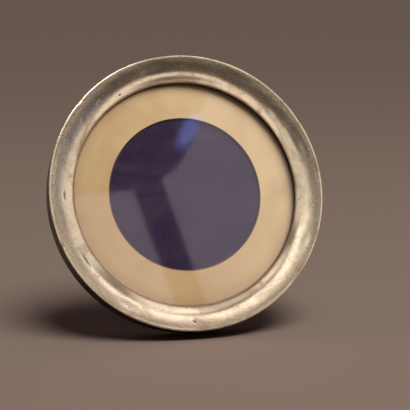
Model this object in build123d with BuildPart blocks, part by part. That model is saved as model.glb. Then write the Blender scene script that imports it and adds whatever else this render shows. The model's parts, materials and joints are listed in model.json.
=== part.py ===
"""Round photograph frame that stands on a hinged strut.

Millimetres, +Z up, the front faces -Y. The origin is on the surface that the frame stands on,
under the middle of its outline. The frame leans back, so its pieces are drawn on a leaning
face plane: x across, y up the face, z out of the front, with z = 0 at the very back.
"""
from build123d import *
from math import cos, radians, sin, sqrt, tan
import os

os.makedirs("parts", exist_ok=True)

# Stance
lean = 19.0                     # degrees that the face leans back from upright
strut_opening = 30.0            # degrees between the open strut and the back

# Silver front
rim_radius = 76.0
rim_width = 14.0                # from the rim in to the silver's edge round the glass
ring_depth = 20.0               # from the bead's top to the very back
silver_sheet = 0.5
bead_radius = 0.6
bead_land = 0.2                 # flat worn along the bead's top
bead_overhang = 1.0             # of the bead past the ring's side
bead_side = 0.5                 # straight part of the bead's outer side
bead_inner_angle = 200.0        # degrees round the bead to where the front leaves it
bead_slope = 9.0                # degrees that the front still rises where it meets the bead
join_slope = 18.0               # where its flat outer part meets its rounder inner part
sight_slope = 42.0              # at the silver's edge round the glass
outer_share = 0.52              # of the front's width, from the bead in to the join
side_flange = 5.4               # silver turned down the ring's side, from the bead's centre
sight_flange = 0.8              # silver turned in at the sight edge
sight_rounding = 0.8
silver_clearance = 0.1          # between the silver and the wood under it

# Brads that hold the silver
brad_count = 8
brad_radius = 0.4
brad_length = 4.0
brad_head_radius = 0.65
brad_head_height = 0.25
brad_head_rounding = 0.15
brad_edge = 0.9                 # of the brads above the silver's turned-down edge

# Wooden ring
rebate_overlap = 4.0            # of the ring over the edge of the glass
rebate_lip = 1.1                # from the silver's sight edge in to the glass
side_swell = 0.2                # of the ring's side, from under the silver to the back
back_arris = 1.0

# Pieces in the rebate
pane_clearance = 0.4            # round the glass, the cards and the back
glass_thickness = 2.0
glass_arris = 0.25
glass_gap = 0.05                # air between the glass and the mat
mat_thickness = 1.4
mat_shown = 20.3                # width of the mat between the silver and the window
window_bevel = 0.9
lining_thickness = 0.5
card_thickness = 0.8
board_share = 0.65              # of the depth behind the cards; packing fills the rest
board_arris = 0.5
velvet = 0.6                    # cloth and pile together
turnover_share = 0.68           # of the back board's edge that its velvet turns round
velvet_set_in = 0.5             # ring's velvet, back from the rebate and the rounded edge
cloth_clearance = 0.05          # between the board's edge and the cloth turned round it

# Turn-buttons
button_count = 4
button_boss_radius = 3.1
button_tip_radius = 2.1
button_reach = 7.8              # from the screw to the centre of the tip
button_thickness = 1.0
button_gap = 0.15               # over the velvet, and under the screw's head
button_arris = 0.25
screw_radius = 1.0
screw_depth = 8.0
screw_head_radius = 2.0
screw_head_height = 0.9
screw_head_rounding = 0.6
slot_width = 0.5                # of the slots for a screwdriver
slot_depth = 0.4
turning_clearance = 0.06        # round a screw or a pin that something turns on
fixed_clearance = 0.02          # round a screw, rivet or pin that is fast

# Hinge
hinge_height = 22.0             # of the hinge pin above the face's centre
pin_radius = 1.0
pin_overhang = 0.5
pin_end_rounding = 0.3
knuckle_radius = 1.9
knuckle_length = 5.0            # of each of the plate's two knuckles
knuckle_lift = 0.4              # between the knuckles and the velvet
knuckle_side_gap = 0.2
plate_thickness = 0.9
plate_top = 19.0                # from the pin up to the plate's top edge
plate_notch = 2.6               # from the pin up to the notch between the knuckles
plate_corner = 2.0
plate_row_shares = (0.32, 0.79) # of the way from the pin to the plate's top, for its screws
plate_screw_edge = 3.0          # of the plate's screws, in from its sides
plate_screw_radius = 0.8
plate_screw_head_radius = 1.5
plate_screw_share = 0.54        # of the board's thickness that the plate's screws go in
leaf_length = 18.0
leaf_thickness = 0.9
leaf_corner = 3.0
rivet_row_shares = (0.36, 0.75) # of the way from the pin to the leaf's end, for the rivets
rivet_spread_share = 0.5        # of the leaf's width, between the rivets of a row
rivet_radius = 0.8
rivet_head_radius = 1.4
rivet_head_height = 0.5
rivet_head_rounding = 0.3

# Strut
head_width = 14.0
head_straight = 4.0             # straight sides of the head, below the pin
head_side_gap = 0.6             # between the covered head and the plate's knuckles
foot_width = 35.0
foot_corner = 3.0
strut_thickness = 5.0
seat_clearance = 0.1            # between the bevelled head and the hinge plate
facing_thickness = 0.4
facing_margin = 1.5             # bare wood round the facing
facing_gap = 1.5                # between the leaf and the facing

overrun = 5.0                   # how far every cut runs past what it cuts


def circle_height(centre, radius, x):
    """Height of the upper half of a circle of the section at x."""
    return centre[1] + sqrt(radius ** 2 - (x - centre[0]) ** 2)


def arc_end(centre, radius, slope):
    """Point of a circle of the section where it falls inwards at a slope in degrees."""
    return (centre[0] - radius * sin(radians(slope)), centre[1] + radius * cos(radians(slope)))


def falling_arc(start, width, slope, end_slope):
    """Radius and centre of an arc that falls inwards over a width, from one slope to another."""
    radius = width / (sin(radians(end_slope)) - sin(radians(slope)))
    return radius, (start[0] + radius * sin(radians(slope)), start[1] - radius * cos(radians(slope)))


# Section of the silver: a bead at the rim, then a swelling front that falls towards the glass,
# first gently and then more steeply, in two arcs that meet smoothly
sight_radius = rim_radius - rim_width
side_radius = rim_radius - bead_overhang
bead_centre = (rim_radius - bead_radius, ring_depth - bead_radius)
bead_inner_centre = (bead_centre[0] - bead_land, bead_centre[1])
bead_end = (
    bead_inner_centre[0] + bead_radius * cos(radians(bead_inner_angle)),
    bead_inner_centre[1] + bead_radius * sin(radians(bead_inner_angle)),
)
front_width = bead_end[0] - sight_radius
outer_radius, outer_centre = falling_arc(bead_end, front_width * outer_share,
                                         bead_slope, join_slope)
join = arc_end(outer_centre, outer_radius, join_slope)
inner_radius, inner_centre = falling_arc(join, join[0] - sight_radius, join_slope, sight_slope)
flange_level = bead_centre[1] - side_flange
sight_level = circle_height(inner_centre, inner_radius, sight_radius)

# Radii of the ring and of what lies in it
back_radius = side_radius + side_swell
rebate_radius = sight_radius + rebate_overlap
pane_radius = rebate_radius - pane_clearance
window_radius = sight_radius - mat_shown

# Levels of the pieces in the rebate, out from the very back
glass_front = sight_level - rebate_lip
glass_back = glass_front - glass_thickness
mat_front = glass_back - glass_gap
mat_back = mat_front - mat_thickness
lining_back = mat_back - lining_thickness
card_back = lining_back - card_thickness
board_thickness = (card_back - velvet) * board_share
board_front = velvet + board_thickness
turnover_level = velvet + board_thickness * turnover_share
plate_screw_depth = plate_thickness + velvet + board_thickness * plate_screw_share

# The frame stands on the rounded back edge of its ring, which sets the height of its centre
arris_centre = (back_radius - back_arris, velvet + back_arris)
centre_height = (arris_centre[0] * cos(radians(lean)) + back_arris
                 - arris_centre[1] * sin(radians(lean)))

# Hinge pin and strut, and how far the outline reaches before and behind the face's centre
strut_slope = radians(strut_opening - lean)
pin_level = -(knuckle_lift + knuckle_radius)
strut_back = knuckle_radius + strut_thickness
pin_height = centre_height + hinge_height * cos(radians(lean)) + pin_level * sin(radians(lean))
pin_back = hinge_height * sin(radians(lean)) - pin_level * cos(radians(lean))
strut_reach = (pin_height + (strut_back + velvet) * sin(strut_slope)) / cos(strut_slope)
front_reach = (bead_centre[0] * sin(radians(lean)) + bead_centre[1] * cos(radians(lean))
               + bead_radius)
back_reach = pin_back + pin_height * tan(strut_slope) + (strut_back + velvet) / cos(strut_slope)

# Planes of the leaning face, of its section and of the open strut
across = Vector(1, 0, 0)
up_face = Vector(0, sin(radians(lean)), cos(radians(lean)))
outward = Vector(0, -cos(radians(lean)), sin(radians(lean)))
strut_front = Vector(0, -cos(strut_slope), -sin(strut_slope))
face = Plane(
    origin=(0, (front_reach - back_reach) / 2, centre_height),
    x_dir=across, z_dir=outward,
)
section = Plane(origin=face.origin, x_dir=across, z_dir=-up_face)
turning_axis = Axis(face.origin, outward)
pin_centre = face.origin + up_face * hinge_height + outward * pin_level
hinge_side = Plane(origin=pin_centre, x_dir=up_face, z_dir=across)
strut_plane = Plane(origin=pin_centre, x_dir=across, z_dir=strut_front)
seat_plane = face.offset(-plate_thickness - seat_clearance)

# Widths at the hinge: the velvet-covered head stands between the plate's knuckles
knuckle_start = head_width / 2 + velvet + head_side_gap
knuckle_end = knuckle_start + knuckle_length
barrel_end = knuckle_start - knuckle_side_gap


def front_points(inset):
    """Points of the front, set in from the silver's surface: its outer end, the middle of its
    outer arc, the join, the middle of its inner arc, and the sight edge."""
    outer, inner = outer_radius - inset, inner_radius - inset
    side, sight = side_radius - inset, sight_radius + inset
    start = (side, circle_height(outer_centre, outer, side)) if inset else bead_end
    meet = arc_end(outer_centre, outer, join_slope)
    halfway = [(start[0] + meet[0]) / 2, (meet[0] + sight) / 2]
    return (
        start,
        (halfway[0], circle_height(outer_centre, outer, halfway[0])),
        meet,
        (halfway[1], circle_height(inner_centre, inner, halfway[1])),
        (sight, circle_height(inner_centre, inner, sight)),
    )


def disc(radius, low, high, hole=0):
    """Flat disc, or flat ring, between two levels of the face."""
    with BuildSketch(face.offset(low)) as outline:
        Circle(radius)
        if hole:
            Circle(hole, mode=Mode.SUBTRACT)
    extrude(outline.sketch, amount=high - low)


def brad_planes():
    """Planes on the silver's turned-down side, one under each brad's head."""
    planes = []
    for brad in range(brad_count):
        turn = radians(360 * (brad + 1 / 2) / brad_count)
        direction = across * cos(turn) + up_face * sin(turn)
        foot = outward * (flange_level + brad_edge)
        planes.append(Plane(origin=face.origin + direction * side_radius + foot,
                            x_dir=outward, z_dir=direction))
    return planes


def button_planes(height):
    """Planes behind the ring at the turn-buttons' screws, each with x towards the centre."""
    planes = []
    for button in range(button_count):
        turn = radians(360 * (button + 1 / 2) / button_count)
        direction = across * cos(turn) + up_face * sin(turn)
        place = direction * (rebate_radius + back_radius) / 2 - outward * height
        planes.append(Plane(origin=face.origin + place, x_dir=-direction, z_dir=-outward))
    return planes


def plate_planes(height):
    """Planes behind the back at the four screws of the hinge plate."""
    column = knuckle_end - plate_screw_edge
    plate_back = face.offset(-height)
    return [
        Plane(origin=plate_back.from_local_coords((x, hinge_height + plate_top * share)),
              x_dir=across, z_dir=-outward)
        for share in plate_row_shares for x in (-column, column)
    ]


def rivet_planes():
    """Planes on the strut leaf at its rivets."""
    leaf_face = strut_plane.offset(leaf_thickness - knuckle_radius)
    column = head_width * rivet_spread_share / 2
    return [
        Plane(origin=leaf_face.from_local_coords((x, -leaf_length * share)),
              x_dir=across, z_dir=strut_front)
        for share in rivet_row_shares for x in (-column, column)
    ]


def round_head(radius, depth, head_radius, head_height, rounding):
    """Fastener with a rounded head, standing on z = 0 with its shank below."""
    with BuildPart() as piece:
        with BuildSketch():
            Circle(head_radius)
        extrude(amount=head_height)
        fillet(piece.faces().sort_by(Axis.Z)[-1].edges(), radius=rounding)
        with BuildSketch():
            Circle(radius)
        extrude(amount=-depth)
    return piece.part


def driver_slot(head_radius, level):
    """Cut a screwdriver's slot across a screw's head."""
    with BuildSketch(Plane.XY.offset(level)) as outline:
        Rectangle(2 * (head_radius + overrun), slot_width)
    extrude(outline.sketch, amount=-slot_depth, mode=Mode.SUBTRACT)


def flat_head(radius, depth, head_radius):
    """Countersunk screw with its head's top at z = 0."""
    with BuildPart() as piece:
        with BuildSketch(Plane.XZ):
            with BuildLine():
                Polyline((0, 0), (head_radius, 0), (radius, radius - head_radius),
                         (radius, -depth), (0, -depth), close=True)
            make_face()
        revolve(axis=Axis.Z)
        driver_slot(head_radius, 0)
    return piece.part


def strut_outline(extra):
    """Outline of the strut, straight at its head and spreading to its foot."""
    head = head_width / 2 + extra
    foot = foot_width / 2 + extra
    Polygon((head, plate_top), (head, -head_straight), (foot, -strut_reach),
            (-foot, -strut_reach), (-head, -head_straight), (-head, plate_top), align=None)


def round_foot(strut, radius):
    """Round the two corners of a strut's foot."""
    foot = strut.faces().sort_by(Axis.Z)[0]
    fillet(foot.edges().sort_by(SortBy.LENGTH)[:2], radius=radius)


# Pressed silver front
with BuildPart() as silver_rim:
    with BuildSketch(section):
        with BuildLine():
            top, outer, meet, inner, sight = front_points(0)
            ThreePointArc(top, outer, meet)
            ThreePointArc(meet, inner, sight)
            under_top, under_outer, under_meet, under_inner, under_sight = front_points(silver_sheet)
            Polyline(sight, (sight[0], sight_level - sight_flange),
                     (under_sight[0], sight_level - sight_flange), under_sight)
            ThreePointArc(under_sight, under_inner, under_meet)
            ThreePointArc(under_meet, under_outer, under_top)
            Polyline(under_top, (under_top[0], flange_level), (side_radius, flange_level),
                     (side_radius, bead_centre[1] - bead_side),
                     (rim_radius, bead_centre[1] - bead_side), (rim_radius, bead_centre[1]))
            CenterArc(bead_centre, bead_radius, start_angle=0, arc_size=90)
            Line((bead_centre[0], ring_depth), (bead_inner_centre[0], ring_depth))
            CenterArc(bead_inner_centre, bead_radius, start_angle=90,
                      arc_size=bead_inner_angle - 90)
        make_face()
        fillet(vertices().sort_by_distance(sight)[0], radius=sight_rounding)
    revolve(axis=turning_axis)
    with Locations(*brad_planes()):
        Hole(brad_radius + fixed_clearance, depth=brad_length)
silver_rim.part.label = "silver_rim"
export_step(silver_rim.part, "parts/silver_rim.step")

# Turned wooden ring, with a rebate for the glass and a rounded back edge
with BuildPart() as wood_ring:
    with BuildSketch(section):
        with BuildLine():
            top, outer, meet, inner, sight = front_points(silver_sheet + silver_clearance)
            shoulder = flange_level - silver_clearance
            ThreePointArc(top, outer, meet)
            ThreePointArc(meet, inner, sight)
            Polyline(sight, (sight[0], glass_front), (rebate_radius, glass_front),
                     (rebate_radius, velvet), (arris_centre[0], velvet))
            CenterArc(arris_centre, back_arris, start_angle=270, arc_size=90)
            TangentArc((back_radius, arris_centre[1]), (side_radius, shoulder), tangent=(0, 1))
            Polyline((side_radius, shoulder), (top[0], shoulder), top)
        make_face()
    revolve(axis=turning_axis)
    with Locations(*brad_planes()):
        Hole(brad_radius + fixed_clearance, depth=brad_length)
    with Locations(*button_planes(0)):
        Hole(screw_radius + fixed_clearance, depth=screw_depth)
wood_ring.part.label = "wood_ring"
export_step(wood_ring.part, "parts/wood_ring.step")

# Brads under the bead
brad = round_head(brad_radius, brad_length, brad_head_radius, brad_head_height, brad_head_rounding)
with BuildPart() as rim_pins:
    with Locations(*brad_planes()):
        add(brad)
rim_pins.part.label = "rim_pins"
export_step(rim_pins.part, "parts/rim_pins.step")

# Glass
with BuildPart() as glass:
    disc(pane_radius, glass_back, glass_front)
    chamfer(glass.edges().filter_by(GeomType.CIRCLE), length=glass_arris)
glass.part.label = "glass"
export_step(glass.part, "parts/glass.step")

# Mat with a bevelled window
with BuildPart() as mat_board:
    with BuildSketch(section):
        with BuildLine():
            Polyline((window_radius, mat_back), (pane_radius, mat_back), (pane_radius, mat_front),
                     (window_radius + window_bevel, mat_front), close=True)
        make_face()
    revolve(axis=turning_axis)
mat_board.part.label = "mat_board"
export_step(mat_board.part, "parts/mat_board.step")

# Cloth behind the window, the card that it is pasted on, and the packing behind them
with BuildPart() as window_lining:
    disc(pane_radius, lining_back, mat_back)
window_lining.part.label = "window_lining"
export_step(window_lining.part, "parts/window_lining.step")

with BuildPart() as lining_card:
    disc(pane_radius, card_back, lining_back)
lining_card.part.label = "lining_card"
export_step(lining_card.part, "parts/lining_card.step")

with BuildPart() as packing_card:
    disc(pane_radius, board_front, card_back)
packing_card.part.label = "packing_card"
export_step(packing_card.part, "parts/packing_card.step")

# Loose back board, and the velvet that covers it and turns round its edge
with BuildPart() as back_board:
    disc(pane_radius - velvet - cloth_clearance, velvet, board_front)
    chamfer(back_board.edges().group_by(turning_axis)[-1], length=board_arris)
    with Locations(*plate_planes(0)):
        Hole(plate_screw_radius + fixed_clearance, depth=plate_screw_depth)
back_board.part.label = "back_board"
export_step(back_board.part, "parts/back_board.step")

with BuildPart() as back_velvet:
    disc(pane_radius, 0, velvet)
    disc(pane_radius, velvet, turnover_level, hole=pane_radius - velvet)
    with Locations(*plate_planes(0)):
        Hole(plate_screw_radius + fixed_clearance, depth=plate_screw_depth)
back_velvet.part.label = "back_velvet"
export_step(back_velvet.part, "parts/back_velvet.step")

# Velvet glued on the back of the ring
with BuildPart() as ring_velvet:
    disc(arris_centre[0] - velvet_set_in, 0, velvet, hole=rebate_radius + velvet_set_in)
    with Locations(*button_planes(0)):
        Hole(screw_radius + fixed_clearance, depth=screw_depth)
ring_velvet.part.label = "ring_velvet"
export_step(ring_velvet.part, "parts/ring_velvet.step")

# Turn-buttons, which reach in over the edge of the back board
for number, plane in enumerate(button_planes(button_gap), start=1):
    with BuildPart() as turn_button:
        with BuildSketch(plane):
            Circle(button_boss_radius)
            with Locations((button_reach, 0)):
                Circle(button_tip_radius)
            make_hull()
        extrude(amount=button_thickness)
        chamfer(turn_button.faces().sort_by(Axis(plane.origin, plane.z_dir))[-1].edges(),
                length=button_arris)
        with Locations(plane.offset(button_thickness)):
            Hole(screw_radius + turning_clearance)
    turn_button.part.label = f"turn_button_{number}"
    export_step(turn_button.part, f"parts/turn_button_{number}.step")

# Their screws, left just loose enough for the buttons to turn
screw_stand = button_gap + button_thickness + button_gap
with BuildPart() as button_screw:
    add(round_head(screw_radius, screw_stand + screw_depth, screw_head_radius,
                   screw_head_height, screw_head_rounding))
    driver_slot(screw_head_radius, screw_head_height)
with BuildPart() as button_screws:
    with Locations(*button_planes(screw_stand)):
        add(button_screw.part)
button_screws.part.label = "button_screws"
export_step(button_screws.part, "parts/button_screws.step")

# Hinge plate, notched between two knuckles that are rolled from its lower edge
with BuildPart() as hinge_plate:
    with BuildSketch(face):
        with Locations((0, hinge_height + plate_top / 2)):
            Rectangle(2 * knuckle_end, plate_top)
        fillet(vertices().group_by(Axis.Y)[-1], radius=plate_corner)
        with Locations((0, hinge_height)):
            Rectangle(2 * knuckle_start, 2 * plate_notch, mode=Mode.SUBTRACT)
    extrude(amount=-plate_thickness)
    for start in (-knuckle_end, knuckle_start):
        with BuildSketch(hinge_side.offset(start)):
            Circle(knuckle_radius)
        extrude(amount=knuckle_length)
    with BuildSketch(hinge_side.offset(-knuckle_end)):
        Circle(pin_radius + fixed_clearance)
    extrude(amount=2 * knuckle_end, mode=Mode.SUBTRACT)
    with Locations(*plate_planes(plate_thickness)):
        CounterSinkHole(plate_screw_radius + fixed_clearance,
                        plate_screw_head_radius + fixed_clearance)
hinge_plate.part.label = "hinge_plate"
export_step(hinge_plate.part, "parts/hinge_plate.step")

plate_screw = flat_head(plate_screw_radius, plate_screw_depth, plate_screw_head_radius)
with BuildPart() as hinge_screws:
    with Locations(*plate_planes(plate_thickness)):
        add(plate_screw)
hinge_screws.part.label = "hinge_screws"
export_step(hinge_screws.part, "parts/hinge_screws.step")

with BuildPart() as hinge_pin:
    with BuildSketch(hinge_side.offset(-knuckle_end - pin_overhang)):
        Circle(pin_radius)
    extrude(amount=2 * (knuckle_end + pin_overhang))
    fillet(hinge_pin.edges().filter_by(GeomType.CIRCLE), radius=pin_end_rounding)
hinge_pin.part.label = "hinge_pin"
export_step(hinge_pin.part, "parts/hinge_pin.step")

# Strut leaf, with the middle knuckle that turns on the pin
with BuildPart() as strut_leaf:
    with BuildSketch(strut_plane.offset(-knuckle_radius)):
        with Locations((0, -leaf_length / 2)):
            Rectangle(head_width, leaf_length)
        fillet(vertices().group_by(Axis.Y)[0], radius=leaf_corner)
    extrude(amount=leaf_thickness)
    with BuildSketch(hinge_side.offset(-barrel_end)):
        Circle(knuckle_radius)
    extrude(amount=2 * barrel_end)
    with BuildSketch(hinge_side.offset(-barrel_end)):
        Circle(pin_radius + turning_clearance)
    extrude(amount=2 * barrel_end, mode=Mode.SUBTRACT)
    with Locations(*rivet_planes()):
        Hole(rivet_radius + fixed_clearance)
strut_leaf.part.label = "strut_leaf"
export_step(strut_leaf.part, "parts/strut_leaf.step")

leaf_rivet = round_head(rivet_radius, leaf_thickness + strut_thickness, rivet_head_radius,
                        rivet_head_height, rivet_head_rounding)
with BuildPart() as leaf_rivets:
    with Locations(*rivet_planes()):
        add(leaf_rivet)
leaf_rivets.part.label = "leaf_rivets"
export_step(leaf_rivets.part, "parts/leaf_rivets.step")

# Wooden strut: its head is bevelled to seat on the hinge plate when the strut is open
with BuildPart() as strut_board:
    with BuildSketch(strut_plane.offset(-strut_back)):
        strut_outline(0)
    extrude(amount=strut_thickness)
    split(bisect_by=seat_plane, keep=Keep.BOTTOM)
    split(bisect_by=Plane.XY.offset(velvet), keep=Keep.TOP)
    round_foot(strut_board, foot_corner)
    bare_strut = strut_board.part
    with Locations(*rivet_planes()):
        Hole(rivet_radius + fixed_clearance)
strut_board.part.label = "strut_board"
export_step(strut_board.part, "parts/strut_board.step")

# Velvet round the strut's back, sides and foot
with BuildPart() as strut_velvet:
    with BuildSketch(strut_plane.offset(-strut_back - velvet)):
        strut_outline(velvet)
    extrude(amount=strut_thickness + velvet)
    split(bisect_by=seat_plane, keep=Keep.BOTTOM)
    split(bisect_by=Plane.XY, keep=Keep.TOP)
    round_foot(strut_velvet, foot_corner + velvet)
    add(bare_strut, mode=Mode.SUBTRACT)
strut_velvet.part.label = "strut_velvet"
export_step(strut_velvet.part, "parts/strut_velvet.step")

# Cloth facing on the side of the strut that folds against the back
with BuildPart() as strut_facing:
    facing_top = -leaf_length - facing_gap
    with BuildSketch(strut_plane.offset(-knuckle_radius)):
        strut_outline(-facing_margin)
        with Locations((0, (plate_top + overrun + facing_top) / 2)):
            Rectangle(foot_width, plate_top + overrun - facing_top, mode=Mode.SUBTRACT)
    extrude(amount=facing_thickness)
    split(bisect_by=Plane.XY.offset(velvet + facing_margin), keep=Keep.TOP)
strut_facing.part.label = "strut_facing"
export_step(strut_facing.part, "parts/strut_facing.step")
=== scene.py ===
import json
from math import cos, degrees, pi, radians, sin, tan

import bpy
import numpy as np
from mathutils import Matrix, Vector, noise

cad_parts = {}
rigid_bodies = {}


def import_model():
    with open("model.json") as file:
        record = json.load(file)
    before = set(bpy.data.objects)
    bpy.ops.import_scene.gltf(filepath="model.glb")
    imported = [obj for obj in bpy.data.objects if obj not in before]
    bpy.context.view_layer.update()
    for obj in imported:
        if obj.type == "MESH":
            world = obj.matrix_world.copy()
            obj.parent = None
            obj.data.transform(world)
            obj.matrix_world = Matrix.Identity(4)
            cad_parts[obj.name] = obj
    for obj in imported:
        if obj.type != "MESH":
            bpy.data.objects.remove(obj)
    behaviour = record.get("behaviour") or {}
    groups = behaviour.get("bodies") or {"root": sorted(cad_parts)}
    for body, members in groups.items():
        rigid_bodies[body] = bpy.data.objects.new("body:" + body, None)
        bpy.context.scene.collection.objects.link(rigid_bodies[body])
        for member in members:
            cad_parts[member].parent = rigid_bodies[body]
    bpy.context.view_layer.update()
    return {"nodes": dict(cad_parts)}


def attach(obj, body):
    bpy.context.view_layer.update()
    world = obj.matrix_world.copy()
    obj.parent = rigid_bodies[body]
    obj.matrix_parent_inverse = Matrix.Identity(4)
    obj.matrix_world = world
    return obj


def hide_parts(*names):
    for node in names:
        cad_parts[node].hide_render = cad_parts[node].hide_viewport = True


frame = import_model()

MM = 0.001

# THE WOODEN RING
# The body of the frame: a ring turned from one board and stained dark, with a rebate behind it
# for the glass. It leans back by the strut's angle, so what is round is laid out on its face.

LEAN = radians(19.0)
ACROSS = Vector((1, 0, 0))
UP_FACE = Vector((0, sin(LEAN), cos(LEAN)))
OUTWARD = Vector((0, -cos(LEAN), sin(LEAN)))
FACE_CENTRE = Vector((0, 4.443, 70.637)) * MM    # at the very back of the ring
TURNED_SIZE = 0.009                              # radius, in metres, that a pattern round it is cut at


def tone(red, green, blue):
    """A colour, named by its 0 to 255 values on a screen."""
    spread = [value / 255 for value in (red, green, blue)]
    return tuple(v / 12.92 if v <= 0.04045 else ((v + 0.055) / 1.055) ** 2.4 for v in spread) + (1,)


class Finish:
    """A finish that is being mixed, with short ways to lay on its grain, stains and wear."""

    def __init__(self, name, **shader_values):
        self.paint = bpy.data.materials.new(name)
        self.paint.use_nodes = True
        self.nodes = self.paint.node_tree.nodes
        self.shader = self.nodes["Principled BSDF"]
        for socket, value in shader_values.items():
            self.shader.inputs[socket.replace("_", " ")].default_value = value
        self.place = self.nodes.new("ShaderNodeTexCoord").outputs["Object"]

    def join(self, value, socket):
        if isinstance(value, bpy.types.NodeSocket):
            self.paint.node_tree.links.new(value, socket)
        elif value is not None:
            socket.default_value = value

    def node(self, kind, *inputs, **settings):
        """A node with its settings made and its inputs given in order, as values or as outputs."""
        made = self.nodes.new("ShaderNode" + kind)
        for name, value in settings.items():
            setattr(made, name, value)
        for socket, value in zip([i for i in made.inputs if i.enabled], inputs):
            self.join(value, socket)
        return made

    def sum(self, operation, *values):
        return self.node("Math", *values, operation=operation).outputs[0]

    def arrow(self, operation, *values):
        """Vector arithmetic; its first output that is in use."""
        made = self.node("VectorMath", *values, operation=operation)
        return next(o for o in made.outputs if o.enabled)

    def from_axis(self):
        """How far out from the face's axis and from its back, in millimetres, and a place in
        which patterns are drawn out round the ring."""
        away = self.arrow("SUBTRACT", self.place, tuple(FACE_CENTRE))
        level = self.arrow("DOT_PRODUCT", away, tuple(OUTWARD))
        lift = self.node("VectorMath", tuple(OUTWARD), operation="SCALE")
        self.join(level, lift.inputs["Scale"])
        in_face = self.arrow("SUBTRACT", away, lift.outputs[0])
        radius = self.arrow("LENGTH", in_face)
        turned = self.arrow("MULTIPLY", self.arrow("NORMALIZE", in_face), (TURNED_SIZE,) * 3)
        drawn = self.node("VectorMath", tuple(OUTWARD), operation="SCALE")
        self.join(self.sum("SUBTRACT", level, radius), drawn.inputs["Scale"])
        return (self.sum("MULTIPLY", radius, 1 / MM), self.sum("MULTIPLY", level, 1 / MM),
                self.arrow("ADD", turned, drawn.outputs[0]))

    def grain(self, size, stretch=(1, 1, 1), place=None, detail=3.0, rough=0.5, warp=0.0):
        """Cloudy pattern; size is that of its spots in millimetres, stretch makes them longer."""
        scaled = self.node("Mapping", place or self.place, None, None,
                           tuple(1 / (size * MM * s) for s in stretch)).outputs[0]
        return self.node("TexNoise", scaled, 1.0, detail, rough, 2.0, warp).outputs[0]

    def band(self, value, low, high, at_low=0.0, at_high=1.0):
        """Carries a value from one stretch to another, smoothly and without passing its ends."""
        return self.node("MapRange", value, low, high, at_low, at_high,
                         interpolation_type="SMOOTHSTEP").outputs[0]

    def mix(self, share, one, other):
        made = self.nodes.new("ShaderNodeMix")
        made.data_type = "RGBA"
        self.join(share, made.inputs["Factor"])
        self.join(one, made.inputs[6])
        self.join(other, made.inputs[7])
        return made.outputs[2]

    def spot(self, centre, along, over):
        """0 at a spot's middle, rising to 1 where the two ways, each one over a half size, end."""
        off = self.arrow("SUBTRACT", self.place, tuple(centre))
        apart = [self.arrow("DOT_PRODUCT", off, tuple(way)) for way in (along, over)]
        return self.sum("ADD", *(self.sum("MULTIPLY", way, way) for way in apart))

    def relief(self, height, depth, below=None):
        """Bumps, as deep in millimetres where the height goes from 0 to 1."""
        made = self.nodes.new("ShaderNodeBump")
        for name, value in (("Distance", depth * MM), ("Height", height), ("Normal", below)):
            self.join(value, made.inputs[name])
        return made.outputs[0]

    def lay(self, **sockets):
        """Joins outputs to the shader."""
        for name, output in sockets.items():
            self.join(output, self.shader.inputs[name.replace("_", " ")])

    def cover(self, *things):
        """Gives the finish to pieces, or to solids by their names."""
        for thing in things:
            piece = frame["nodes"][thing] if isinstance(thing, str) else thing
            if not piece.material_slots:
                piece.data.materials.append(self.paint)
            for slot in piece.material_slots:
                slot.material = self.paint


def stained_wood(name, dark, light, grain_way, gloss):
    """Straight-grained wood under stain and thin polish."""
    wood = Finish(name, Coat_Weight=gloss, Coat_Roughness=0.3, Specular_IOR_Level=0.3)
    figure = wood.grain(4, grain_way, detail=5, rough=0.6, warp=0.6)
    pores = wood.grain(0.5, grain_way, detail=2)
    colour = wood.mix(wood.band(figure, 0.3, 0.7), dark, light)
    colour = wood.mix(wood.band(pores, 0.56, 0.68), colour, dark)
    wood.lay(Base_Color=colour, Roughness=wood.band(pores, 0.3, 0.7, 0.42, 0.6),
             Normal=wood.relief(pores, 0.05))
    return wood


ring_wood = stained_wood("ring_wood", tone(30, 19, 12), tone(58, 39, 26), (14, 1, 1), 0.12)
ring_wood.cover("wood_ring")

# THE SILVER FRONT
# Thin silver spun to a bead and a swelling front that falls towards the glass, pressed over the
# ring and turned down its side. Handling has left it dented, and tarnish has stayed at its edges.
# Its turned-down side is painted near black and dull, as painted shade.

RIM = 76.0                                       # radii: the rim, the opening, the turned-down side
SIGHT = 62.0
SIDE = 75.0
SHEET = 0.15                                     # thinner than its solid, so dents stay over the wood
BEAD_OUTER = (75.4, 19.4, 0.6)                   # centres of the section's arcs, and their radii
BEAD_INNER = (75.2, 19.4, 0.6)
OUTER = (81.373, -23.339, 43.064)
INNER = (73.270, 1.599, 16.843)
BEAD_TURN = 200                                  # degrees round the bead to the front
SLOPES = (9, 18, 42)                             # degrees that the front falls inwards: at the
                                                 # bead, where its two arcs meet, at the glass
FLANGE_LEVEL = 14.0
SIGHT_LEVEL = 14.115
SIGHT_FLANGE = 0.8
SIGHT_ROUNDING = 0.8

# Dents: degrees round from the right, radius, length round, width across, depth
SHARP_DENTS = (
    (132.1, 68.2, 2.6, 0.9, 0.10), (143.2, 68.9, 1.6, 1.1, 0.12), (121.4, 64.6, 1.2, 0.8, 0.10),
    (179.6, 67.6, 4.0, 0.9, 0.20), (210.5, 67.8, 6.5, 1.0, 0.30), (268.0, 70.7, 1.3, 1.0, 0.30),
)
SOFT_DENTS = (
    (100.0, 71.0, 9.0, 3.0, 0.14), (62.0, 70.2, 11.0, 3.2, 0.16), (20.0, 69.6, 12.0, 3.0, 0.12),
    (335.0, 70.4, 9.0, 2.6, 0.14), (300.0, 68.2, 7.0, 2.4, 0.10), (238.0, 70.6, 10.0, 3.0, 0.15),
    (190.0, 71.4, 8.0, 2.4, 0.16), (156.0, 70.9, 7.0, 2.2, 0.12), (41.0, 66.4, 5.0, 2.0, 0.10),
)
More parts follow.
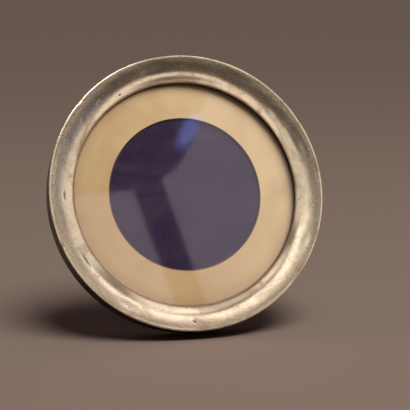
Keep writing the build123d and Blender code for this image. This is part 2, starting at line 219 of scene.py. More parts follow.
# Knocks in the bead: degrees round, length round, depth
KNOCKS = ((137.8, 3.0, 0.40), (201.0, 2.4, 0.45), (152.0, 5.0, 0.15), (96.0, 7.0, 0.12),
          (31.0, 6.0, 0.14), (318.0, 8.0, 0.16), (248.0, 6.0, 0.12), (281.0, 4.0, 0.14))


def arc(centre_radius, centre_level, radius, start, end, count):
    """Points of a section's arc, from one angle to another in degrees, 0 away from the axis."""
    return [(centre_radius + radius * cos(radians(turn)), centre_level + radius * sin(radians(turn)))
            for turn in np.linspace(start, end, count)]


def silver_section():
    """The silver's outer skin, from its lower edge up the side and in to the glass."""
    line = [(SIDE, level) for level in np.linspace(FLANGE_LEVEL, BEAD_OUTER[1] - 0.5, 10)]
    line += [(RIM - 0.02, BEAD_OUTER[1] - 0.5)]
    line += arc(*BEAD_OUTER, -30, 90, 10)
    line += arc(*BEAD_INNER, 90, BEAD_TURN, 12)
    line += arc(*OUTER, 90 + SLOPES[0], 90 + SLOPES[1], 26)[1:]
    turned = SIGHT_ROUNDING * tan(radians(90 - SLOPES[2]) / 2)
    end = SLOPES[2] - degrees(turned / INNER[2])
    line += arc(*INNER, 90 + SLOPES[1], 90 + end, 30)[1:]
    line += arc(SIGHT + SIGHT_ROUNDING, SIGHT_LEVEL - turned, SIGHT_ROUNDING, 90 + end, 180, 8)[1:]
    line += [(SIGHT, SIGHT_LEVEL - 0.6), (SIGHT, SIGHT_LEVEL - SIGHT_FLANGE)]
    return np.array(line)


def on_face(across, up, out):
    """Places on the leaning face, given in millimetres, as points of the room in metres."""
    spread = (np.multiply.outer(np.asarray(value, float), np.array(way))
              for value, way in ((across, ACROSS), (up, UP_FACE), (out, OUTWARD)))
    return sum(spread) * MM + np.array(FACE_CENTRE)


def made_piece(name, points, faces):
    mesh = bpy.data.meshes.new(name)
    mesh.from_pydata(np.asarray(points).tolist(), [], faces)
    mesh.polygons.foreach_set("use_smooth", [True] * len(mesh.polygons))
    mesh.update()
    piece = bpy.data.objects.new(name, mesh)
    bpy.context.scene.collection.objects.link(piece)
    return piece


def spun(name, section, around, worked):
    """A closed piece spun round the face's axis from its section. Worked moves its points, and
    may add an under side to them."""
    turns = np.linspace(0, 2 * pi, around, endpoint=False)[None, :]
    radius, level = worked(*(np.repeat(section[:, i:i + 1], around, axis=1) for i in (0, 1)), turns)
    points = on_face(radius * np.cos(turns), radius * np.sin(turns), level).reshape(-1, 3)
    faces = []
    for ring in range(len(radius)):
        low, high = ring * around, (ring + 1) % len(radius) * around
        faces += [(low + i, high + i, high + (i + 1) % around, low + (i + 1) % around)
                  for i in range(around)]
    return made_piece(name, points, faces)


def cloudy(turns, along, size, seed):
    """Gentle unevenness round a ring and along its section, about -1 to 1."""
    turns, along = np.broadcast_arrays(turns, along)
    values = [noise.noise((RIM / size * cos(turn), RIM / size * sin(turn), at / size + seed))
              for turn, at in zip(turns.flat, along.flat)]
    return np.array(values).reshape(turns.shape)


def bump_round(turns, at, length, radius=None, middle=0, width=1):
    """A soft bump, 1 at its middle, at some degrees round and at a radius if one is given."""
    apart = (np.degrees(turns) - at + 180) % 360 - 180
    off = (np.radians(apart) * RIM / length) ** 2
    if radius is not None:
        off = off + ((radius - middle) / width) ** 2
    return np.exp(-2 * off)


def out_of_skin(radius, level):
    """Which way is out of the skin, for each point of its section."""
    along_radius, along_level = np.gradient(radius, axis=0), np.gradient(level, axis=0)
    length = np.maximum(np.hypot(along_radius, along_level), 1e-9)
    return along_level / length, -along_radius / length


def handled(radius, level, turns):
    """The silver after years of use: uneven, dented, and knocked at the bead."""
    away = out_of_skin(radius, level)
    top = np.clip((level - SIGHT_LEVEL + 0.3) / 0.3, 0, 1) * np.clip((RIM - 1.3 - radius) / 0.5, 0, 1)
    dented = 0.05 + 0.04 * cloudy(turns, radius, 16, 3) + 0.015 * cloudy(turns, radius, 5, 9)
    for at, middle, long, wide, depth in SHARP_DENTS + SOFT_DENTS:
        dented = dented + depth * bump_round(turns, at, long, radius, middle, wide)
    bead = np.clip((radius - RIM + 1.6) / 0.8, 0, 1) * np.clip((level - BEAD_OUTER[1] + 0.7) / 0.3, 0, 1)
    knocked = 0.05 + 0.05 * cloudy(turns, 0, 11, 21)
    for at, long, depth in KNOCKS:
        knocked = knocked + depth * bump_round(turns, at, long)
    return (radius - away[0] * dented * top - 0.7 * knocked * bead,
            level - away[1] * dented * top - 0.6 * knocked * bead)


def doubled(radius, level, turns):
    """The handled silver, with its under skin a sheet's thickness below."""
    radius, level = handled(radius, level, turns)
    away = out_of_skin(radius, level)
    under = (radius - SHEET * away[0], level - SHEET * away[1])
    return tuple(np.vstack([top, low[::-1]]) for top, low in zip((radius, level), under))


silver_front = spun("silver_front", silver_section(), 900, doubled)

silver = Finish("worn_silver", Metallic=1.0)
radius, level, round_ring = silver.from_axis()
stains = silver.grain(11, detail=4, rough=0.6, warp=0.6)
blotches = silver.grain(3.5, (1, 1, 1), round_ring, detail=4, rough=0.6)
lines = silver.grain(0.2, (1, 1, 1), round_ring, detail=3, rough=0.7)
pits = silver.grain(0.9, detail=2, rough=0.6)
# Tarnish keeps to the foot of the bead, the hollow and the edge at the glass; the turned-down side takes
# the full tarnish colour as painted shade
below_bead = silver.band(level, BEAD_OUTER[1] - 0.5, BEAD_OUTER[1] - 0.9)
side = silver.sum("MULTIPLY", silver.band(radius, SIDE - 0.8, SIDE - 0.2), below_bead)
inside_bead = silver.band(radius, SIDE, SIDE - 0.3)
foot = silver.sum("MULTIPLY", silver.band(radius, SIDE - 1.6, SIDE - 0.5), inside_bead)
hollow = silver.sum("MULTIPLY", silver.band(radius, SIDE - 6.4, SIDE - 3.4), inside_bead)
edge = silver.band(radius, SIGHT + 1.4, SIGHT + 0.2)
tarnish = silver.sum("MULTIPLY_ADD", hollow, 0.16, silver.sum("MULTIPLY", foot, 0.2))
tarnish = silver.sum("MAXIMUM", tarnish, silver.sum("MULTIPLY", edge, 0.6))
tarnish = silver.sum("ADD", tarnish, silver.band(stains, 0.42, 0.72, 0.0, 0.42))
tarnish = silver.sum("MULTIPLY", tarnish, silver.band(blotches, 0.25, 0.75, 0.6, 1.2))
tarnish = silver.sum("ADD", tarnish, silver.band(pits, 0.61, 0.70, 0.0, 0.7))
tarnish = silver.sum("MAXIMUM", tarnish, side)
tarnish = silver.node("Clamp", tarnish, 0.0, 1.0).outputs[0]
# The sharp dents are darker, and painted shade makes the side near black and dull
FRONT_LEVEL = 17.7                               # of the silver's front, about where those dents are
dents_and_side_shade = side
for at, middle, long, wide, _ in SHARP_DENTS:
    out_way = ACROSS * cos(radians(at)) + UP_FACE * sin(radians(at))
    spot = silver.spot(Vector(FACE_CENTRE) + out_way * middle * MM + OUTWARD * FRONT_LEVEL * MM,
                       OUTWARD.cross(out_way) / (0.8 * long * MM), out_way / (0.8 * wide * MM))
    dents_and_side_shade = silver.sum("MAXIMUM", dents_and_side_shade, silver.band(spot, 1.1, 0.1, 0.0, 0.85))
bright, dark = (0.93, 0.785, 0.61, 1), (0.36, 0.22, 0.13, 1)
# Painted shade on the side, and darker marks in the sharp dents: near black and barely metallic
dent_and_side_shade_colour = silver.mix(silver.band(blotches, 0.35, 0.65), tone(22, 16, 13), tone(56, 42, 32))
satin = silver.band(silver.sum("ADD", blotches, tarnish), 0.3, 1.6, 0.2, 0.38)
silver.lay(Base_Color=silver.mix(dents_and_side_shade, silver.mix(tarnish, bright, dark), dent_and_side_shade_colour),
           Roughness=silver.sum("MULTIPLY_ADD", dents_and_side_shade, 0.25, satin),
           Metallic=silver.sum("MULTIPLY_ADD", dents_and_side_shade, -0.8, 1.0),
           Specular_IOR_Level=silver.band(dents_and_side_shade, 0.0, 1.0, 0.5, 0.2),
           Normal=silver.relief(pits, 0.02, silver.relief(blotches, 0.02, silver.relief(lines, 0.006))))
silver.cover(silver_front)
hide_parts("silver_rim")
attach(silver_front, "root")

# THE BRADS
# Eight small domed brads, driven through the turned-down silver into the ring's side. They are
# of the same metal, and dull.

brads = Finish("dull_silver", Metallic=1.0)
wear = brads.grain(0.8, detail=3)
brads.lay(Base_Color=brads.mix(brads.band(wear, 0.35, 0.65), tone(150, 132, 112), tone(96, 80, 62)),
          Roughness=brads.band(wear, 0.3, 0.7, 0.3, 0.5), Normal=brads.relief(wear, 0.03))
brads.cover("rim_pins")

# THE GLASS
# A disc of old window glass, 2 mm thick, with its arrises ground off. It lies in the rebate
# behind the silver's edge, and has a little dust and a few wiping marks on it.

HEAD_ON = 0.04                                   # share that glass mirrors when looked at squarely

glass = Finish("picture_glass")
facing = glass.node("LayerWeight", 0.5).outputs["Facing"]
slanting = glass.sum("MULTIPLY", 1 - HEAD_ON, glass.sum("POWER", facing, 5.0))
mirrored = glass.sum("ADD", HEAD_ON, slanting)
clear = glass.node("BsdfTransparent", (0.96, 0.975, 0.965, 1)).outputs[0]
shine = glass.node("BsdfGlossy", (0.86, 0.77, 0.93, 1), 0.04).outputs[0]
pane = glass.node("MixShader", mirrored, clear, shine).outputs[0]
dust = glass.node("BsdfDiffuse", tone(200, 190, 176)).outputs[0]
wiped = glass.grain(12, (3, 1, 1), detail=5, rough=0.65, warp=0.8)
pane = glass.node("MixShader", glass.band(wiped, 0.45, 0.8, 0.004, 0.03), pane, dust).outputs[0]
glass.join(pane, glass.nodes["Material Output"].inputs["Surface"])
glass.cover("glass")

# THE MAT
# Cream mat board, its round window cut with a narrow bevel that is lined in brown. The board has
# darkened with age, a little unevenly, and its paper face has a fine tooth. It is darker and
# yellower towards the lower left, and painted shade darkens it towards the silver's edge, deeply
# right under it.

MAT_FACE, MAT_BACK = 10.96, 9.565                # levels of its two sides

mat = Finish("mat_board", Roughness=0.85, Specular_IOR_Level=0.25)
radius, level, _ = mat.from_axis()
tooth = mat.grain(0.35, detail=3, rough=0.6)
aged = mat.grain(26, detail=3, warp=0.5)
foxed = mat.grain(4, detail=5, rough=0.7)
paper = mat.mix(mat.band(aged, 0.35, 0.7), tone(216, 184, 146), tone(203, 169, 129))
paper = mat.mix(mat.band(foxed, 0.62, 0.8, 0.0, 0.35), paper, tone(176, 140, 100))
paper = mat.mix(mat.band(tooth, 0.3, 0.7, 0.0, 0.12), paper, tone(235, 215, 186))
# Darker and yellower towards the lower left
lower_left_darkening = mat.spot(on_face(-35, -50, MAT_FACE), ACROSS / (95 * MM), UP_FACE / (95 * MM))
paper = mat.mix(mat.band(lower_left_darkening, 1.0, 0.1, 0.0, 0.45), paper, tone(188, 150, 106))
# Painted shade: softly darker towards the silver's edge, and deeply darker right under it
paper = mat.mix(mat.band(radius, SIGHT - 8.0, SIGHT - 1.5, 0.0, 0.30), paper, tone(160, 126, 92))
paper = mat.mix(mat.band(radius, SIGHT - 1.4, SIGHT + 0.2, 0.0, 0.85), paper, tone(96, 72, 50))
bevel = mat.band(level, MAT_FACE - 0.01, MAT_FACE - 0.08)
mat.lay(Base_Color=mat.mix(bevel, paper, tone(84, 62, 46)), Normal=mat.relief(tooth, 0.02))
mat.cover("mat_board")

# THE WINDOW'S LINING
# Violet velvet stretched over a card behind the window, where the photograph would be. Its pile
# has been stroked this way and that, so it shows in streaks, which are painted sheen.

PANE = 65.6                                      # radius of all that lies in the rebate
LINING = 0.5


def disc_cloth(name, edge_radius, shown_level, thickness, soft, skirt=0.0, hole=0.02):
    """Round cloth whose shown face is at a level, with its thickness in from there (below 0 for
    a face that looks forward). A skirt is turned round its edge; soft is the pile's unevenness."""
    depth, fold = abs(thickness), min(0.35, abs(thickness) * 0.6)
    line = [(r, 0.0) for r in np.linspace(hole + fold, edge_radius - fold, 110)]
    if hole > 1:
        line = [(hole, depth)] + arc(hole + fold, fold, fold, 180, 270, 5)[:-1] + line
    line += arc(edge_radius - fold, fold, fold, -90, 0, 6)[1:]
    if skirt:
        line += [(edge_radius, depth + (skirt - depth) * share) for share in (0.3, 0.6, 0.9)]
        line += [(edge_radius - 0.15, skirt), (edge_radius - depth, skirt), (edge_radius - depth, depth)]
    line += [(edge_radius - 0.02, depth)] * (not skirt) + [(hole + 0.01, depth)]

    def stroked(radius, inward, turns):
        uneven = (1 + cloudy(turns, radius, 7, 40)) / 2
        return radius, shown_level + np.copysign(inward + soft * uneven * (inward < 0.02), thickness)

    return spun(name, np.array(line), 240, stroked)


def velvet(name, deep, sheen_tone, streaks, worn=None):
    """Silk velvet: dark into the pile, with its lit tips painted as lighter streaks where it was
    stroked, a painted sheen.
    """
    cloth = Finish(name, Roughness=0.9, Sheen_Weight=0.55, Sheen_Roughness=0.35,
                   Specular_IOR_Level=0.1, Sheen_Tint=sheen_tone)
    stroke = cloth.grain(3.2, streaks, detail=3, rough=0.55)
    patch = cloth.grain(16, detail=3, warp=0.6)
    pile = cloth.grain(0.22, detail=2)
    # Painted sheen: the stroked streaks take the lighter tone
    colour = cloth.mix(cloth.band(stroke, 0.15, 0.85), deep, sheen_tone)
    colour = cloth.mix(cloth.band(patch, 0.3, 0.7, 0.0, 0.35), colour, deep)
    colour = cloth.mix(cloth.band(pile, 0.35, 0.7, 0.0, 0.4), colour, deep)
    if worn:
        colour = cloth.mix(worn(cloth), colour, tone(122, 106, 116))
    cloth.lay(Base_Color=colour, Normal=cloth.relief(pile, 0.12, cloth.relief(stroke, 0.25)))
    return cloth


lining_cloth = disc_cloth("lining_cloth", PANE, MAT_BACK, -LINING, 0.06)
velvet("lining_velvet", tone(44, 31, 57), tone(56, 42, 76), (0.5, 0.5, 9)).cover(lining_cloth)
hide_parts("window_lining")
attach(lining_cloth, "root")

# THE CARDS
# Two discs of grey pasteboard, cut to drop into the rebate. The lining is pasted on one, and a
# thicker one packs the rebate behind it.

pasteboard = Finish("pasteboard", Roughness=0.9, Specular_IOR_Level=0.2)
fibre = pasteboard.grain(0.9, (3, 1, 1), detail=4, rough=0.7)
grey = pasteboard.mix(pasteboard.band(fibre, 0.35, 0.65), tone(150, 138, 118), tone(120, 108, 90))
pasteboard.lay(Base_Color=grey, Normal=pasteboard.relief(fibre, 0.04))
pasteboard.cover("lining_card", "packing_card")

# THE BACK BOARD AND ITS VELVET
# A loose disc of plain wood that closes the rebate. Dark violet velvet is glued over it and
# turned round its edge, and has worn where the buttons sweep and where fingers lift it.

plain_wood = stained_wood("plain_wood", tone(112, 78, 46), tone(150, 110, 70), (1, 1, 12), 0.1)
plain_wood.cover("back_board")

VELVET = 0.6
TURNOVER = 3.98                                  # how much velvet turns over the board's edge
PILE_DEEP, PILE_SHEEN_TONE = tone(40, 30, 50), tone(68, 55, 86)
NAP = (1, 1, 5)                                  # its strokes run up and down
SCREW_RING = 70.6
BUTTON_TURNS = (45, 135, 225, 315)
SWEPT = (5.5, 7.5, 9.4, 10.2)                    # how far from its screw a button's tip rubs


def rubbed_by_buttons(cloth):
    """Where the buttons' tips pass over the velvet, and where its turned edge is handled."""
    swept = None
    for turn in BUTTON_TURNS:
        screw = on_face(SCREW_RING * cos(radians(turn)), SCREW_RING * sin(radians(turn)), 0)
        away = cloth.arrow("DISTANCE", cloth.place, tuple(screw))
        near, in_reach, out_of_reach, far = (step * MM for step in SWEPT)
        ring = cloth.sum("MULTIPLY", cloth.band(away, near, in_reach),
                         cloth.band(away, far, out_of_reach))
        swept = cloth.sum("MAXIMUM", swept, ring) if swept else ring
    radius = cloth.from_axis()[0]
    edge = cloth.sum("MULTIPLY", cloth.band(radius, PANE - 1.0, PANE - 0.1), 0.7)
    thin = cloth.band(cloth.grain(1.1, detail=4, rough=0.7), 0.42, 0.62)
    return cloth.sum("MULTIPLY", cloth.sum("MAXIMUM", cloth.sum("MULTIPLY", swept, 0.6), edge), thin)


back_cloth = disc_cloth("back_cloth", PANE, 0.0, VELVET, 0.10, skirt=TURNOVER)
velvet("back_velvet", PILE_DEEP, PILE_SHEEN_TONE, NAP, rubbed_by_buttons).cover(back_cloth)
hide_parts("back_velvet")
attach(back_cloth, "root")

# THE RING'S VELVET
# A narrow bias strip of the same velvet, glued round the back of the wooden ring. It hides the
# wood there, and the buttons are screwed down through it.

STRIP = (66.5, 73.7)                             # radii of its edges


def rubbed_edges(cloth):
    """Bald along both edges of the strip."""
    radius, (inner, outer) = cloth.from_axis()[0], STRIP
    edges = cloth.sum("MAXIMUM", cloth.band(radius, inner + 0.8, inner),
                      cloth.band(radius, outer - 1.0, outer - 0.1))
    thin = cloth.band(cloth.grain(1.3, detail=4, rough=0.7), 0.4, 0.6, 0.0, 0.9)
    return cloth.sum("MULTIPLY", edges, thin)


ring_cloth = disc_cloth("ring_cloth", STRIP[1], 0.0, VELVET, 0.10, hole=STRIP[0])
velvet("ring_velvet", PILE_DEEP, PILE_SHEEN_TONE, NAP, rubbed_edges).cover(ring_cloth)
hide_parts("ring_velvet")
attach(ring_cloth, "root")

# THE TURN-BUTTONS AND THEIR SCREWS
# Four tongues of sheet brass, each on one round-headed slotted screw. Thumbs keep them bright,
# and they have dulled in between.


def aged_brass(name, bright, dull, scratch_way, dulled):
    """Brass with a dull bloom on it, up to a share of 1, and scratches that run one way."""
    brass = Finish(name, Metallic=1.0)
    bloom = brass.grain(2.6, detail=5, rough=0.65, warp=0.4)
    scratch = brass.grain(0.16, scratch_way, detail=3, rough=0.7)
    worn = brass.sum("ADD", bloom, brass.sum("MULTIPLY", scratch, 0.25))
    share = brass.band(worn, 0.45, 0.8, 0.1, dulled)
    brass.lay(Base_Color=brass.mix(share, bright, dull),
              Roughness=brass.band(share, 0.1, 0.9, 0.2, 0.46),
              Normal=brass.relief(scratch, 0.008, brass.relief(bloom, 0.03)))
    return brass


button_brass = aged_brass("button_brass", (0.86, 0.66, 0.31, 1), (0.42, 0.28, 0.12, 1), (12, 1, 3), 0.7)
button_brass.cover(*(f"turn_button_{number}" for number in (1, 2, 3, 4)))
screw_brass = aged_brass("screw_brass", (0.88, 0.70, 0.38, 1), (0.46, 0.31, 0.14, 1), (1, 1, 1), 0.6)
screw_brass.cover("button_screws")

# THE HINGE
# A brass plate rolled into two knuckles at its lower edge, and the strut's leaf rolled into one
# between them, on a steel pin. Countersunk screws hold the plate and rivets the leaf.

hinge_brass = aged_brass("hinge_brass", (0.78, 0.58, 0.27, 1), (0.32, 0.21, 0.09, 1), (3, 1, 14), 0.9)
hinge_brass.cover("hinge_plate", "strut_leaf")
screw_brass.cover("hinge_screws", "leaf_rivets")
steel = Finish("pin_steel", Metallic=1.0)
drawn = steel.grain(0.3, (16, 1, 1), detail=3)
steel.lay(Base_Color=steel.mix(steel.band(drawn, 0.4, 0.7), tone(150, 146, 140), tone(96, 84, 72)),
          Roughness=steel.band(drawn, 0.3, 0.7, 0.25, 0.5))
steel.cover("hinge_pin")

# THE STRUT AND ITS VELVET
# The strut is a flat piece of wood with a bevelled head. Velvet is glued round its back, its two
# sides and its foot, and rubbed bare along the edge that stands on the table.

plain_wood.cover("strut_board")

PIN = on_face(0, 22.0, -2.3)
STRUT_SLOPE = radians(11.0)
STRUT_FRONT = Vector((0, -cos(STRUT_SLOPE), -sin(STRUT_SLOPE)))
STRUT_UP = Vector((0, -sin(STRUT_SLOPE), cos(STRUT_SLOPE)))
STRUT_FACE = -1.9                                # the wood's front, behind the pin
STRUT_DEPTH = 5.0
HEAD_HALF, FOOT_HALF = 7.0, 17.5                 # half widths
HEAD_STRAIGHT, STRUT_REACH = 4.0, 93.844         # how far below the pin it starts to widen, and ends
HEAD_END, HEAD_BEVEL = 2.6, radians(60)          # above the pin, and the bevel's slope
FOOT_CORNER = 3.0


def foot_line(out):
    """How far up the strut the table is, for a place in front of the pin."""
    return (out * sin(STRUT_SLOPE) - PIN[2] / MM) / cos(STRUT_SLOPE)


def head_line(out):
    """How far up the strut its bevelled head ends, against the hinge plate."""
    return HEAD_END - out * tan(HEAD_BEVEL)


def half_width(up, out, extra):
    """Half of the strut's width there, with its foot's corners rounded off."""
    share = np.clip((-HEAD_STRAIGHT - up) / (STRUT_REACH - HEAD_STRAIGHT), 0, 1)
    half = HEAD_HALF + extra + (FOOT_HALF - HEAD_HALF) * share
    corner = FOOT_CORNER + extra
    left = np.clip(corner - (up - foot_line(out)), 0, corner)
    return half - (corner - np.sqrt(np.maximum(corner ** 2 - left ** 2, 0)))


def on_strut(across, up, out):
    """Places on the strut, in millimetres from its pin, as points of the room in metres."""
    spread = (np.multiply.outer(np.asarray(value, float), np.array(way))
              for value, way in ((across, ACROSS), (up, STRUT_UP), (out, STRUT_FRONT)))
    return sum(spread) * MM + np.array(PIN)


def woven(grid):
    """The faces between the points of a grid, row by row."""
    count = grid.shape[1]
    return [(r * count + i, r * count + i + 1, (r + 1) * count + i + 1, (r + 1) * count + i)
            for r in range(len(grid) - 1) for i in range(count - 1)]


def strut_skin(name, extra, rows, columns):
    """Velvet round the strut: rows from head to foot, each from one front edge round the back
    to the other."""
    back = STRUT_FACE - STRUT_DEPTH - extra
    fold = 1.0
    shares = np.concatenate([np.linspace(0, 0.93, rows - 12), 1 - 0.07 * np.linspace(1, 0, 13)[1:] ** 2])
    points = []
    for share in shares:
        row = []
        sides = [(STRUT_FACE - step, 0.0) for step in np.linspace(0, STRUT_DEPTH + extra - fold, 5)]
        sides += [(back + fold * (1 - sin(turn)), fold * (1 - cos(turn)))
                  for turn in np.linspace(0, pi / 2, 5)[1:]]
        for out, inset in sides:
            up = head_line(out) + (foot_line(out) + inset * (share > 0.999) - head_line(out)) * share
            row.append((half_width(up, out, extra) - inset, up, out))
        half, up, out = row[-1]
        middle = [(half * (1 - 2 * step / (columns + 1)), up, out) for step in range(1, columns + 1)]
        row = row + middle + [(-half, up, out) for half, up, out in row[::-1]]
        points.append(row)
    grid = np.array(points)
    wave = np.array([[noise.noise((x / 6, y / 6, 70)) for x, y, _ in row] for row in grid])
    grid[:, :, 2] += 0.06 * (1 + wave) * (grid[:, :, 2] < back + 0.05)
    count = grid.shape[1]
    last = (len(grid) - 1) * count
    under_foot = [(last + i, last + i + 1, last + count - 2 - i, last + count - 1 - i)
                  for i in range(count // 2 - 1)]
    skin = made_piece(name, on_strut(*np.moveaxis(grid, 2, 0)).reshape(-1, 3), woven(grid) + under_foot)
    thick = skin.modifiers.new("Thickness", "SOLIDIFY")
    thick.thickness, thick.offset = 0.5 * MM, -1
    return skin


strut_cloth = strut_skin("strut_cloth", VELVET, 70, 26)


def rubbed_strut(cloth):
    """Bare along the foot's edge, where it stands on the table."""
    height = cloth.node("SeparateXYZ", cloth.place).outputs[2]
    foot = cloth.band(height, 2.2 * MM, 0.4 * MM)
    thin = cloth.band(cloth.grain(1.2, detail=4, rough=0.7), 0.35, 0.6, 0.2, 0.9)
    return cloth.sum("MULTIPLY", foot, thin)


velvet("strut_velvet", PILE_DEEP, PILE_SHEEN_TONE, NAP, rubbed_strut).cover(strut_cloth)
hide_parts("strut_velvet")
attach(strut_cloth, "strut")

# THE STRUT'S FACING
# A piece of thin violet silk pasted on the strut's front, cut a little smaller than the wood, so
# that the turned edges of the velvet don't show when it is opened.

FACING_TOP, FACING_LOW = -19.5, foot_line(STRUT_FACE) + 2.1
FACING_LIFT = 0.4                                # how proud it stands, apart from its pasted edges

facing_shares = np.concatenate([np.linspace(0, 0.04, 5), np.linspace(0.06, 0.94, 60),
                                np.linspace(0.96, 1, 5)])
facing_steps = np.concatenate([[-1, -0.985], np.linspace(-0.96, 0.96, 24), [0.985, 1]])
facing = []
for share in facing_shares:
    up = FACING_TOP + (FACING_LOW - FACING_TOP) * share
    half = half_width(up, STRUT_FACE, 0) - 1.5
    from_end = min(share, 1 - share) * (FACING_TOP - FACING_LOW)
    lift = FACING_LIFT * min(1, from_end / FACING_LIFT) ** 0.5
    row = []
    for step in facing_steps:
        frayed = 0.06 * noise.noise((up / 2, step, 5)) * (abs(step) == 1)
        puffed = (abs(step) < 0.99) * (0.95 + 0.05 * noise.noise((step * 3, up / 5, 2)))
        row.append((half * step + frayed, up, STRUT_FACE + 0.02 + lift * puffed))
    facing.append(row)
facing = np.array(facing)
facing_cloth = made_piece("facing_cloth", on_strut(*np.moveaxis(facing, 2, 0)).reshape(-1, 3),
                          woven(facing))
silk = Finish("facing_silk", Roughness=0.5, Sheen_Weight=0.3, Specular_IOR_Level=0.35)
weave = silk.grain(0.25, (6, 1, 1), detail=2)
moire = silk.grain(7, (1, 1, 3), detail=4, warp=1.2)
silk.lay(Base_Color=silk.mix(silk.band(moire, 0.35, 0.65), tone(48, 38, 66), tone(74, 62, 96)),
         Normal=silk.relief(weave, 0.03))
silk.cover(facing_cloth)
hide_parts("strut_facing")
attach(facing_cloth, "strut")

# THE TABLE, THE LIGHT AND THE CAMERA
# The finished frame stands on a plain pale table. A key light from the right and one from behind
# are kept to the frame, softer light from above falls on the table too, and soft boxes and cards
# all round are there for the silver and the glass to mirror.

table = made_piece("table", [(x, y, 0) for x, y in ((-60, -60), (60, -60), (60, 60), (-60, 60))],
                   [(0, 1, 2, 3)])
table_top = Finish("table_top", Base_Color=tone(190, 168, 158), Roughness=1.0, Specular_IOR_Level=0.0)
table_top.cover(table)

MIDDLE = Vector((0, 0, 0.075))                   # of the frame, in metres, as all that follows
on_frame = bpy.data.collections.new("on_frame")  # what the two strong lights are kept to
for thing in bpy.context.scene.objects:
    if thing.type == "MESH" and thing != table:
        on_frame.objects.link(thing)


def soft_box(name, azimuth, elevation, distance, width, height, brightness, colour,
             mirrored=True, falls=False):
    """A soft box that faces the frame from some degrees to the right of the front and above the
    table, as bright as a white lit to this many times 1. It is mirrored, or its light falls."""
    light = bpy.data.lights.new(name, "AREA")
    light.shape, light.size, light.size_y = "RECTANGLE", width, height
    light.color = colour
    light.energy = brightness * pi * width * height
    box = bpy.data.objects.new(name, light)
    turned, raised = radians(azimuth), radians(elevation)
    away = Vector((sin(turned) * cos(raised), -cos(turned) * cos(raised), sin(raised)))
    box.location = MIDDLE + away * distance
    box.rotation_euler = away.to_track_quat("Z", "Y").to_euler()
    box.visible_camera = False
    box.visible_glossy = mirrored
    box.visible_diffuse = falls
    bpy.context.scene.collection.objects.link(box)
    return box


WARM, COOL = (1.0, 0.95, 0.88), (0.62, 0.72, 1.0)
AROUND = 1.15                                    # distance of the boxes that are only mirrored
key = soft_box("key", 57, 47, 1.2, 0.62, 0.62, 17.8, WARM, mirrored=False, falls=True)
back_key = soft_box("back_key", -150, 42, 1.3, 0.9, 0.9, 7.5, WARM, falls=True)
key.light_linking.receiver_collection = back_key.light_linking.receiver_collection = on_frame
soft_box("table_light", 24, 66, 1.4, 0.9, 0.9, 1.7, WARM, mirrored=False, falls=True)

# Light from the whole ceiling, which reaches all the table and leaves soft shade at the foot
ceiling = bpy.data.objects.new("ceiling", bpy.data.lights.new("ceiling", "SUN"))
ceiling.data.energy, ceiling.data.angle, ceiling.data.color = 0.76, radians(30), WARM
ceiling.rotation_euler = (radians(26), 0, radians(20))
ceiling.visible_glossy = False
bpy.context.scene.collection.objects.link(ceiling)

soft_box("front_right", 16, 29.5, 2.2, 0.96, 0.66, 1.12, WARM)
soft_box("front_left", -8, 40, AROUND, 0.52, 0.26, 0.80, WARM)
soft_box("front_high", 4, 53, AROUND, 1.50, 0.31, 1.38, WARM)
soft_box("left_wall", -46, 20, AROUND, 1.38, 0.90, 0.64, WARM)
soft_box("right_wall", 70, 20, AROUND, 1.12, 0.90, 0.70, WARM)
soft_box("window", 37, 14, AROUND, 0.12, 0.50, 0.45, COOL)
soft_box("left_high", -76, 64, AROUND, 0.70, 0.40, 0.7, WARM)
soft_box("right_high", 76, 64, AROUND, 0.70, 0.40, 0.9, WARM)
soft_box("overhead", 0, 84, AROUND, 0.90, 0.50, 0.5, WARM)
soft_box("behind_high", 180, 60, AROUND, 0.90, 0.60, 0.7, WARM)
soft_box("behind_right", 130, 40, AROUND, 0.80, 0.60, 0.7, WARM)

# The way that the straight-on view leaves the glass, and what is across and up from it
GLASS_WAY = Vector((0.247, -0.852, 0.461)).normalized()
WAY_ACROSS = Vector((0, 0, 1)).cross(GLASS_WAY).normalized()
WAY_UP = GLASS_WAY.cross(WAY_ACROSS)


def only_mirrored(card):
    """Hides a card from all but what shines, so that only what shines shows it."""
    card.visible_camera = card.visible_diffuse = card.visible_shadow = False
    card.visible_transmission = False


def card_before_glass(name, outline, away, glow=None, brightness=0.0, colour=(1, 1, 1, 1)):
    """A flat card across the way that the glass mirrors; its outline is in millimetres across
    and up from that way. A glow is bright at its middle and fades out by its half length and
    half width; it stands at some degrees from across."""
    middle = MIDDLE + GLASS_WAY * away
    card = made_piece(name, [middle + WAY_ACROSS * x * MM + WAY_UP * y * MM for x, y in outline],
                      [tuple(range(len(outline)))])
    cloth = Finish(name, Base_Color=tone(20, 18, 22), Roughness=1.0, Specular_IOR_Level=0.0,
                   Emission_Color=colour, Emission_Strength=0.0)
    if glow:
        (x, y), half_length, half_width, turn = glow
        long_way = WAY_ACROSS * cos(radians(turn)) + WAY_UP * sin(radians(turn))
        apart = cloth.spot(middle + WAY_ACROSS * x * MM + WAY_UP * y * MM,
                           long_way / (half_length * MM), GLASS_WAY.cross(long_way) / (half_width * MM))
        cloth.lay(Emission_Strength=cloth.band(apart, 1.0, 0.0, 0.0, brightness))
    cloth.cover(card)
    only_mirrored(card)


# A black flag on a slanting arm keeps the front light off part of the glass, the light's corner is
# rounded off, and a blue light glows beside the flag
card_before_glass("flag", ((-220, 36), (-83, 24), (-42, -200), (-3, -200), (-43, 32), (-20, 44),
                           (6, 73), (28, 113), (56, 220), (-220, 220)), 1.0)
card_before_glass("corner", arc(-45, -18, 170, -4, 90, 24) + arc(-10, 6, 152, 90, -4, 24), 0.99)
card_before_glass("blue", ((-50, 55), (-18, 45), (6, 73), (26, 108), (-30, 108)), 0.98,
                  ((7, 91), 40, 15, 52), 3.4, (0.30, 0.42, 1.0, 1))

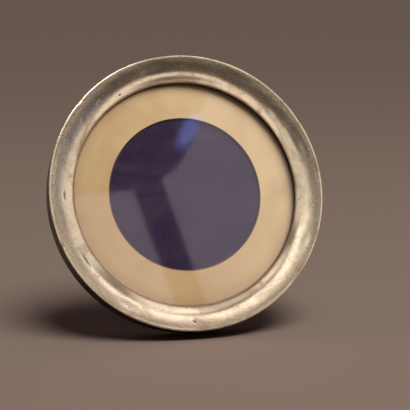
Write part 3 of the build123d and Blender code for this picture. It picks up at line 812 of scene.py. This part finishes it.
# A white card lies on the table, just outside the picture, for the upper part of the silver to
# mirror, with a small black one on it that shows as a dark lens above the mat and a brown one beyond
black_oval = [(0.080 + 0.075 * cos(turn), -0.240 + 0.095 * sin(turn))
              for turn in np.linspace(0, 2 * pi, 32, endpoint=False)]
# The white card also glows a little: painted light, standing in for the light on it
for name, outline, level, colour, glow in (
        ("white_card", ((-0.60, -0.90), (0.60, -0.90), (0.50, -0.13), (-0.50, -0.13)),
         1, tone(230, 220, 210), 0.56),
        ("black_card", black_oval, 2, tone(14, 12, 10), 0.0),
        ("brown_card", ((-2.5, -6.0), (2.5, -6.0), (0.7, -0.9), (-0.7, -0.9)),
         1, tone(84, 58, 42), 0.0)):
    card = made_piece(name, [(x, y, level * MM) for x, y in outline], [tuple(range(len(outline)))])
    Finish(name, Base_Color=colour, Emission_Color=(1.0, 0.94, 0.86, 1),
           Emission_Strength=glow).cover(card)
    only_mirrored(card)

# The room is dark behind the camera and lighter beyond the table. What it gives to dull things is
# weaker than what is mirrored of it.
DARK_ROOM, LIGHT_ROOM = (0.040, 0.029, 0.022, 1), (0.24, 0.205, 0.19, 1)
DULL_SHARE = 0.3

room = bpy.data.worlds.new("room")
bpy.context.scene.world = room
room.use_nodes = True
nodes, links = room.node_tree.nodes, room.node_tree.links
sky = nodes["Background"]
way = nodes.new("ShaderNodeSeparateXYZ")
links.new(nodes.new("ShaderNodeTexCoord").outputs["Generated"], way.inputs[0])
share = nodes.new("ShaderNodeMapRange")
share.inputs["From Min"].default_value, share.inputs["From Max"].default_value = -0.6, 0.6
links.new(way.outputs["Y"], share.inputs["Value"])
shade = nodes.new("ShaderNodeMix")
shade.data_type = "RGBA"
shade.inputs[6].default_value, shade.inputs[7].default_value = DARK_ROOM, LIGHT_ROOM
links.new(share.outputs[0], shade.inputs["Factor"])
links.new(shade.outputs[2], sky.inputs["Color"])
strength = nodes.new("ShaderNodeMapRange")
strength.inputs["To Min"].default_value, strength.inputs["To Max"].default_value = 1.0, DULL_SHARE
links.new(nodes.new("ShaderNodeLightPath").outputs["Is Diffuse Ray"], strength.inputs["Value"])
links.new(strength.outputs[0], sky.inputs["Strength"])

# The camera stands a little to the left of the frame and above it, behind a long lens
turn, rise = radians(-14.52), radians(9.3)
back = Vector((sin(turn) * cos(rise), -cos(turn) * cos(rise), sin(rise)))
camera = bpy.data.objects.new("camera", bpy.data.cameras.new("camera"))
camera.data.lens, camera.data.sensor_width = 112.48, 36
camera.location = (-0.16360, -0.67977, 0.18149)
camera.rotation_euler = (-back).to_track_quat("-Z", "Y").to_euler()
bpy.context.scene.collection.objects.link(camera)
bpy.context.scene.camera = camera
bpy.context.scene.view_settings.view_transform = "Standard"
